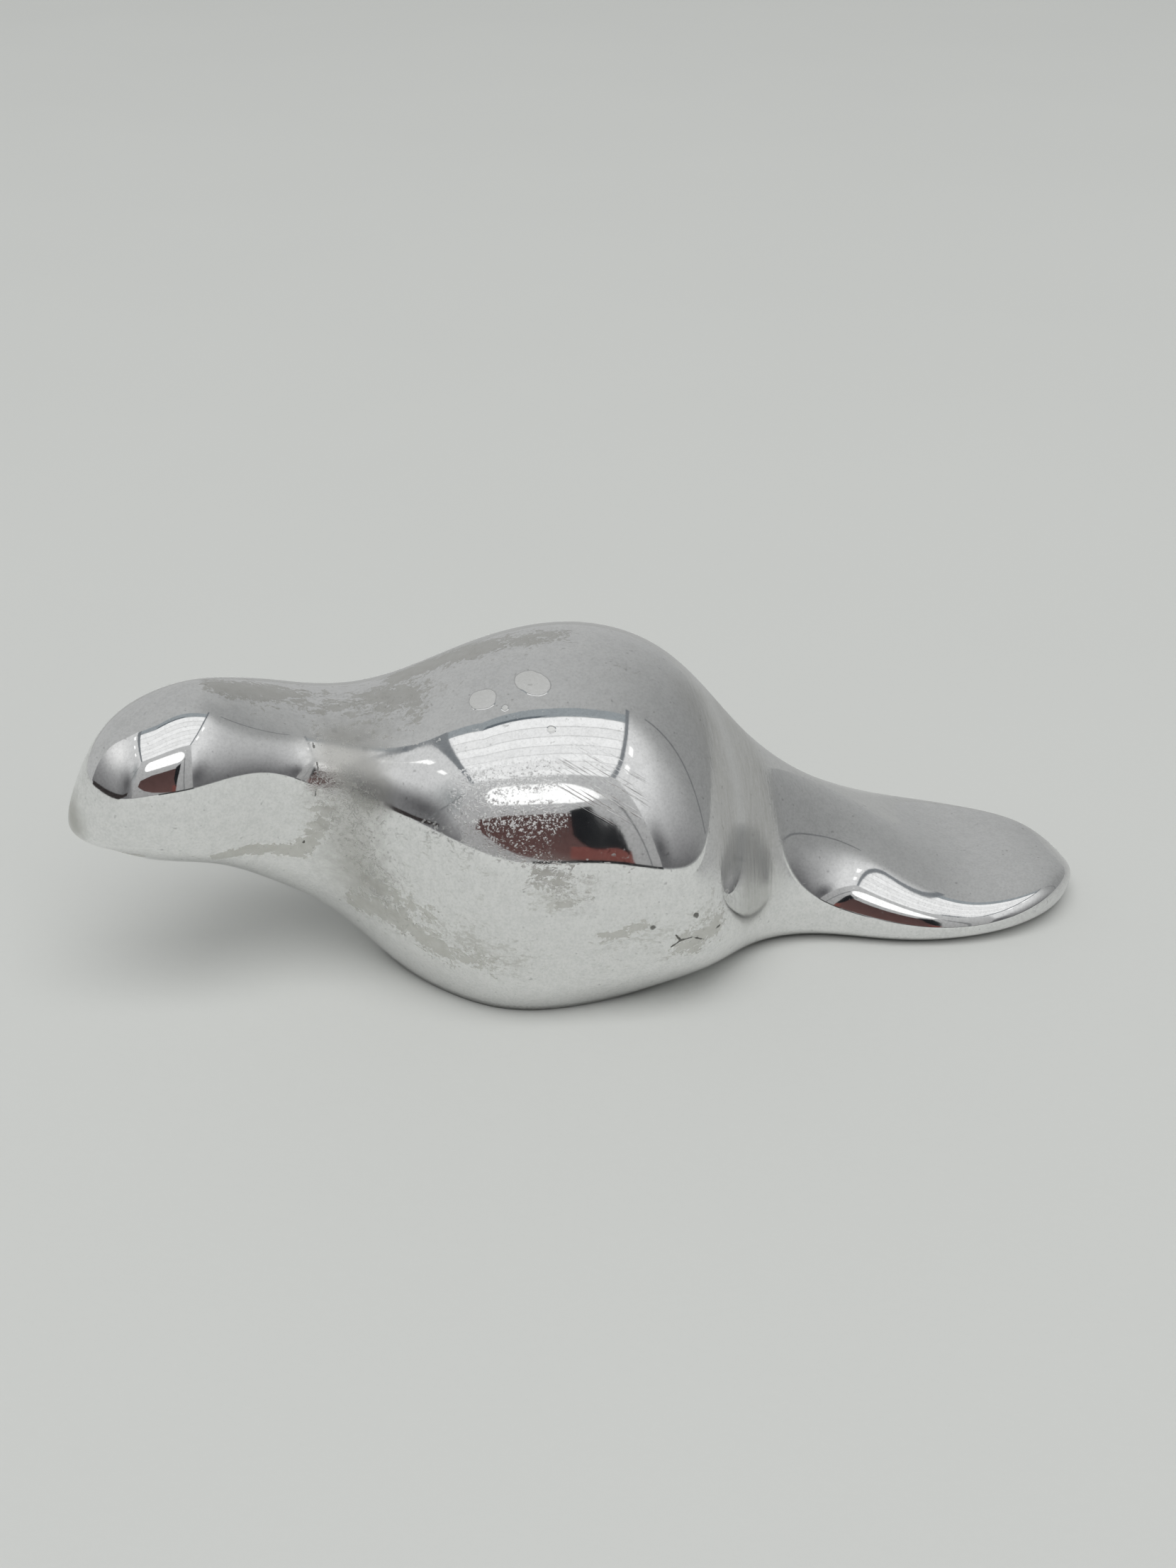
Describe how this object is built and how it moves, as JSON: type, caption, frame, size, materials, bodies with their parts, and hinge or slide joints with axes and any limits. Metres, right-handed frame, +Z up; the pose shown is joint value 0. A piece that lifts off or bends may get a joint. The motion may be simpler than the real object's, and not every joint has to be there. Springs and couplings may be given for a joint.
{
  "type": "beaver ornament",
  "caption": "Mirror-polished cast aluminium beaver ornament with a rounded snout, full body and flat paddle tail, sealed under flaking clear lacquer.",
  "frame": {"origin": "middle of the footprint of the whole ornament, on the surface that it stands on", "axes": "+X from the nose towards the tail tip, +Y towards the beaver's right flank, +Z up"},
  "size_m": [0.1412, 0.0526, 0.0466],
  "materials": {
    "polished_aluminium": "mirror polished, dulled where the lacquer has gone",
    "clear_lacquer": "clear gloss lacquer"
  },
  "bodies": {
    "root": {"casting": "polished_aluminium", "lacquer_film": "clear_lacquer"}
  },
  "joints": []
}
